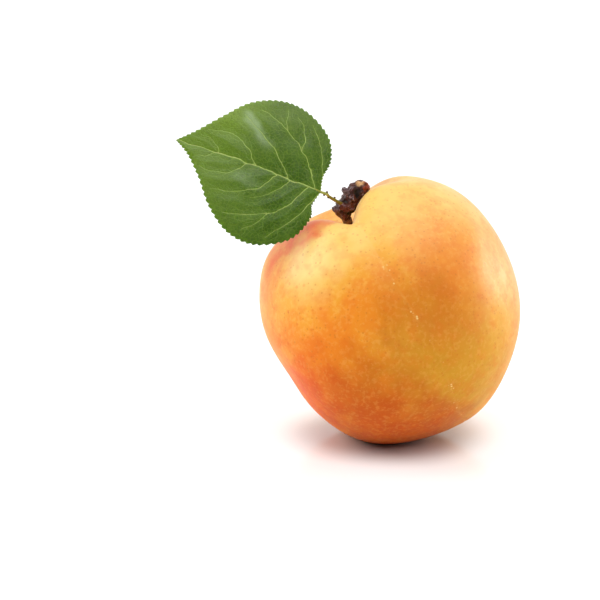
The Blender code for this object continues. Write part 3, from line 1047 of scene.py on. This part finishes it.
def skin_shine(shader, way):
    """Warm shine and down, both weaker on the fruit's underside."""
    upwards = along_axis(way, (0.0, 0.0, 1.0))
    values = {
        "Specular IOR Level": ramp(upwards, -0.1, 0.9, 0.1, 1.0),
        "Specular Tint": (*SKIN_SHINE, 1.0),
        "Sheen Weight": ramp(upwards, -0.6, 0.6, 0.03, 0.3),
        "Sheen Roughness": 0.45,
        "Sheen Tint": (*SKIN_DOWN, 1.0),
    }
    fill(shader, values)


def skin_material():
    """Velvety ripe skin: patches of yellow, orange and blush, some of them painted highlights and
    painted shade, under the finer marks.
    """
    material, tree, shader = new_material("apricot_skin")
    place = millimetres(tree)
    way = vector("NORMALIZE", {0: place})
    broad = grain(place, 14.0, 2.0)
    middle = grain(place, 3.5, 4.0, 0.6)
    fine = grain(place, 0.9, 3.0, 0.6)
    soft = grain(place, 5.0, 2.0, 0.45)
    wobble = times(maths("SUBTRACT", soft, 0.5), math.radians(PATCH_RAGGEDNESS))
    colour = skin_ground(broad, middle, fine)
    for around, polar, full, end, strength, tint in SKIN_PATCHES:
        inside = patch(way, wobble, around, polar, full, end)
        colour = layered(colour, (inside, strength, tint))
    red_side = patch(way, wobble, *RED_DOTS)
    colour = skin_marks(colour, place, red_side, middle, fine)
    colour = suture_marks(tree, colour, place, middle)
    coat(shader, colour, middle, 0.38, 0.48)
    fuzz = grain(place, 0.22, 2.0)
    roughen(shader, maths("ADD", times(fuzz, 0.5), fine), 0.35, 0.06)
    let_light_in(shader, LIGHT_IN_FLESH, 2.0)
    skin_shine(shader, way)
    return material


def vein_mask(tree, name, width):
    """1 on a vein by its signed offset, where the plain distance says that one is really near."""
    offset = maths("ABSOLUTE", attribute(tree, f"{name}_offset"))
    on_line = ramp(maths("DIVIDE", offset, width), 0.8, 0.25)
    beyond = maths("SUBTRACT", attribute(tree, f"{name}_distance"), width)
    return times(on_line, ramp(beyond, VEIN_MARGIN, 0.5 * VEIN_MARGIN))


def vein_masks(tree):
    """Where the main veins are, and where the fine ones are."""
    main = vein_mask(tree, "vein", attribute(tree, "vein_width"))
    return main, vein_mask(tree, "fine_vein", TWIG_WIDTH)


def highlight_streak(lengthwise, sideways, start, end, half_width):
    """1 along the middle of a streak of the blade, fading towards its sides and its ends."""
    line = Vector(end) - Vector(start)
    along = line.normalized()
    place = fed_node("ShaderNodeCombineXYZ", {0: lengthwise, 1: sideways}).outputs[0]
    from_start = vector("SUBTRACT", {0: place, 1: (*start, 0.0)})
    onwards = along_axis(from_start, (along.x, along.y, 0.0))
    aside = maths("ABSOLUTE", along_axis(from_start, (-along.y, along.x, 0.0)))
    begins = ramp(onwards, 0.0, 3.0)
    ends = ramp(onwards, line.length, 0.3 * line.length)
    return times(times(begins, ends), ramp(aside, half_width, 0.0))


def leaf_greens(lengthwise, sideways, broad):
    """Mottled greens, yellower towards the tip and on the rising half."""
    colour = blend(ramp(broad, 0.35, 0.65), *LEAF_GREENS)
    to_tip = (ramp(lengthwise, 7.0, 30.0), 0.85, TIP_GREEN)
    rising = (ramp(sideways, -6.0, -17.0), 0.35, RISING_GREEN)
    young = times(ramp(sideways, -2.0, -9.0), ramp(lengthwise, 14.0, 25.0))
    return layered(colour, to_tip, rising, (young, 0.5, YOUNG_GREEN))


def fine_net(place):
    """Faint lines round the small cells of the blade."""
    values = {"Vector": place, "Scale": 1.0 / NET_SIZE}
    cells = fed_node("ShaderNodeTexVoronoi", values, feature="DISTANCE_TO_EDGE")
    return times(ramp(cells.outputs["Distance"], 0.12, 0.0), 0.34)


def leaf_top_material():
    """Glossy upper face: mottled greens, a fine net, painted highlight streaks and pale veins."""
    material, tree, shader = new_material("leaf_top")
    place = millimetres(tree)
    from_base = vector("SUBTRACT", {0: place, 1: LEAF_BASE})
    lengthwise = along_axis(from_base, leaf_turn() @ Vector((1, 0, 0)))
    sideways = along_axis(from_base, leaf_turn() @ Vector((0, 1, 0)))
    broad = grain(place, 6.0, 3.0)
    fine = grain(place, 0.35, 2.0)
    net = fine_net(place)
    colour = leaf_greens(lengthwise, sideways, broad)
    colour = blend(net, colour, NET_GREEN)
    colour = layered(colour, (ramp(fine, 0.45, 0.7), 0.4, SPECKLE_GREEN))
    uneven = times(maths("SUBTRACT", broad, 0.5), 4.0)
    wavering = maths("ADD", sideways, uneven)
    # Painted highlights along streaks of the blade.
    for start, end, half_width, strength in HIGHLIGHT_STREAKS:
        highlight_mask = highlight_streak(lengthwise, wavering, start, end, half_width)
        colour = layered(colour, (highlight_mask, strength, HIGHLIGHT_STREAK_COLOUR))
    vein, fine_vein = vein_masks(tree)
    halo = (ramp(attribute(tree, "vein_distance"), 0.9, 0.1), 0.25, HALO_GREEN)
    thin = (fine_vein, 0.5, FINE_VEIN_GREEN)
    colour = layered(colour, halo, thin, (vein, 0.95, VEIN_GREEN))
    coat(shader, colour, broad, 0.26, 0.36)
    shader.inputs["Specular IOR Level"].default_value = 0.36
    height = maths("SUBTRACT", times(fine, 0.6), times(net, 2.0))
    roughen(shader, height, 0.5, 0.05)
    let_light_in(shader, LIGHT_IN_LEAF, 0.5)
    return material


def leaf_under_material():
    """Matt, paler and greyer lower face with pale raised veins."""
    material, tree, shader = new_material("leaf_underside")
    place = millimetres(tree)
    broad = grain(place, 5.0, 3.0)
    fine = grain(place, 0.4, 2.0)
    vein, fine_vein = vein_masks(tree)
    colour = blend(ramp(broad, 0.35, 0.65), *UNDER_GREENS)
    speckle = (fine, 0.25, UNDER_SPECKLE)
    thin = (fine_vein, 0.4, UNDER_FINE_VEIN)
    colour = layered(colour, speckle, thin, (vein, 0.9, UNDER_VEIN))
    coat(shader, colour, fine, 0.55, 0.68)
    roughen(shader, fine, 0.5, 0.05)
    let_light_in(shader, LIGHT_IN_LEAF, 0.5)
    return material


def bark_material():
    """Maroon bark: painted shade near black in its hollows, lilac-grey on its ridges, open wood at
    a scar.
    """
    material, tree, shader = new_material("spur_bark")
    place = millimetres(tree)
    relief = attribute(tree, "relief")
    broad = grain(place, 1.2, 3.0)
    fine = grain(place, 0.25, 4.0, 0.65)
    streak = grain(stretched(place, SPUR_AXIS, WRINKLE_STRETCH), 0.5, 3.0, 0.6)
    colour = blend(ramp(broad, 0.35, 0.65), *BARK_MAROONS)
    bloom = times(ramp(relief, -0.1, 0.3), ramp(streak, 0.5, 0.62))
    # Painted shade: near black where the bark sinks in.
    painted_hollow_shade = (ramp(relief, 0.0, -0.4), 1.0, BARK_HOLLOW_SHADE)
    red = times(near_place(place, RED_END, 0.9, 2.2), ramp(broad, 0.3, 0.6))
    scar = near_place(place, WOOD_SCAR, 0.5, 1.3)
    wood = (scar, ramp(fine, 0.25, 0.45), OPEN_WOOD)
    bloom = (bloom, 0.85, BARK_BLOOM)
    colour = layered(colour, bloom, painted_hollow_shade, (red, 0.85, BARK_RED), wood)
    coat(shader, colour, fine, 0.26, 0.55)
    roughen(shader, streak, 0.8, 0.2)
    return material


def plain_material(name, grain_settings, colours, low, high, bump=None, tint=None):
    """Two colours mixed by a fine grain, with a roughness, a bump and a tint by an attribute."""
    material, tree, shader = new_material(name)
    fine = grain(millimetres(tree), *grain_settings)
    colour = blend(ramp(fine, *MIDDLE_LEVELS), *colours)
    if tint:
        field, start, end, strength, over = tint
        mask = ramp(attribute(tree, field), start, end)
        colour = layered(colour, (mask, strength, over))
    coat(shader, colour, fine, low, high)
    if bump:
        roughen(shader, fine, *bump)
    return material


def bud_material():
    """Lilac-grey bud scales with dark red edges."""
    edges = ("relief", 0.0, -0.1, 1.0, BUD_EDGE)
    return plain_material("bud_scale", (0.3, 4.0, 0.6), BUD_GREYS, 0.4, 0.6, (0.6, 0.08), edges)


def pedicel_material():
    """Brown corky stalk, darker in its hollows."""
    dark = ("relief", 0.0, -0.06, 1.0, PEDICEL_HOLLOW)
    return plain_material(
        "pedicel_bark", (0.4, 4.0, 0.6), PEDICEL_BROWNS, 0.55, 0.7, (0.6, 0.08), dark
    )


def petiole_material():
    """Yellow-green stalk, tinged red-brown towards its foot."""
    foot = ("along", 0.42, 0.2, 0.7, PETIOLE_RED)
    return plain_material(
        "petiole_green", (0.5, 3.0), PETIOLE_GREENS, 0.34, 0.46, (0.4, 0.05), foot
    )


def gland_material():
    """Dark, glossy red-brown glands."""
    return plain_material("gland_brown", (0.15, 3.0), GLAND_BROWNS, 0.28, 0.42)


# ---------------- studio

# The floor is a pale sheet with a painted glow, left off round the fruit's foot as a painted
# shadow:
# its two greys, the strength of the glow, and how far from the resting spot, in mm, it starts and
# is full.
FLOOR_SIZE = 12.0
FLOOR_CELLS = 8
FLOOR_GREYS = ((0.68, 0.68, 0.68), (0.7, 0.7, 0.7))
FLOOR_ROUGHNESS = 0.18
PAINTED_FLOOR_GLOW = 0.38
GLOW_START = 13.0
GLOW_FULL = 26.0

# Softboxes: name, direction from the fruit, distance, width, strength at the fruit, and whether
# glossy surfaces mirror it.
SOFTBOXES = (
    ("left_softbox", (-0.82, 0.15, 0.53), 1.75, 1.1, 0.64, True),
    ("right_back_softbox", (0.85, 0.42, 0.1), 1.75, 1.0, 0.62, True),
    ("overhead_softbox", (0.1, 0.18, 1.0), 2.0, 1.9, 0.42, True),
    ("front_softbox", (0.15, -0.6, 0.8), 2.2, 1.5, 0.5, False),
)

# White tent: its bright side, its strength off and on that side, and what the backdrop adds.
SKY_BRIGHT_SIDE = (0.0, 0.8, 0.6)
SKY_FRONT = 0.1
SKY_BACK = 0.45
SKY_BACKDROP = 0.55

WHITE = (1.0, 1.0, 1.0, 1.0)


def floor_material():
    """Pale sheet with a faint mottle and a painted glow, left off round the fruit's foot as a
    painted shadow.
    """
    material, tree, shader = new_material("studio_floor")
    place = millimetres(tree)
    colour = blend(grain(place, 6.0), *FLOOR_GREYS)
    away = vector("LENGTH", {0: place}, "Value")
    # Painted glow, left off round the foot as a painted shadow.
    glow = ramp(away, GLOW_START, GLOW_FULL, 0.0, PAINTED_FLOOR_GLOW)
    fill(shader, {"Base Color": colour, "Roughness": FLOOR_ROUGHNESS})
    fill(shader, {"Emission Color": WHITE, "Emission Strength": glow})
    return material


def make_floor():
    """A wide flat floor under the resting spot."""
    body = bmesh.new()
    bmesh.ops.create_grid(
        body, x_segments=FLOOR_CELLS, y_segments=FLOOR_CELLS, size=FLOOR_SIZE / 2
    )
    floor = add_mesh("studio_floor", body, floor_material())


def make_softboxes():
    """Square lights that face the fruit; strength 1 lights a white card there to full white."""
    middle = Vector(FRUIT_CENTRE) * MM
    for name, way, distance, width, strength, mirrored in SOFTBOXES:
        lamp = bpy.data.lights.new(name, "AREA")
        lamp.shape = "SQUARE"
        lamp.size = width
        lamp.energy = strength * (math.pi * distance) ** 2
        light = add_object(name, lamp)
        out = Vector(way).normalized()
        light.location = middle + out * distance
        light.rotation_euler = out.to_track_quat("Z", "Y").to_euler()
        light.visible_camera = False
        light.visible_glossy = mirrored


def make_sky():
    """A white tent round the set, dimmest on the camera's side and brightest straight behind."""
    world = bpy.data.worlds.new("studio_tent")
    world.use_nodes = True
    bpy.context.scene.world = world
    tree = world.node_tree
    way = new_node(tree, "ShaderNodeTexCoord", {}).outputs["Generated"]
    towards = along_axis(way, Vector(SKY_BRIGHT_SIDE).normalized())
    tent = ramp(towards, -0.2, 0.8, SKY_FRONT, SKY_BACK)
    backwards = along_axis(way, (0.0, 1.0, 0.0))
    backdrop = ramp(backwards, 0.8, 0.97, 0.0, SKY_BACKDROP)
    strength = maths("ADD", tent, backdrop)
    fill(tree.nodes["Background"], {"Color": WHITE, "Strength": strength})


def make_camera():
    """The photo's view, from a little above the fruit."""
    elevation = math.radians(CAMERA_ELEVATION)
    back = Vector((0.0, -math.cos(elevation), math.sin(elevation)))
    data = bpy.data.cameras.new("camera")
    data.lens = CAMERA_LENS
    data.clip_start, data.clip_end = CAMERA_CLIP
    camera = add_object("camera", data)
    camera.location = Vector(AIM) + back * CAMERA_DISTANCE
    camera.rotation_euler = (math.radians(90.0 - CAMERA_ELEVATION), 0.0, 0.0)
    bpy.context.scene.camera = camera


bpy.context.scene.view_settings.view_transform = "Standard"
make_camera()
make_sky()
make_softboxes()
make_floor()
make_fruit()
make_leaf()
spur_tree = make_spur()
scale_material = bud_material()
make_bud("upper_bud", "bud_upper", spur_tree, scale_material)
make_bud("lower_bud", "bud_lower", spur_tree, scale_material)
make_pedicel()
petiole_tree = make_petiole(spur_tree)
make_glands(petiole_tree)
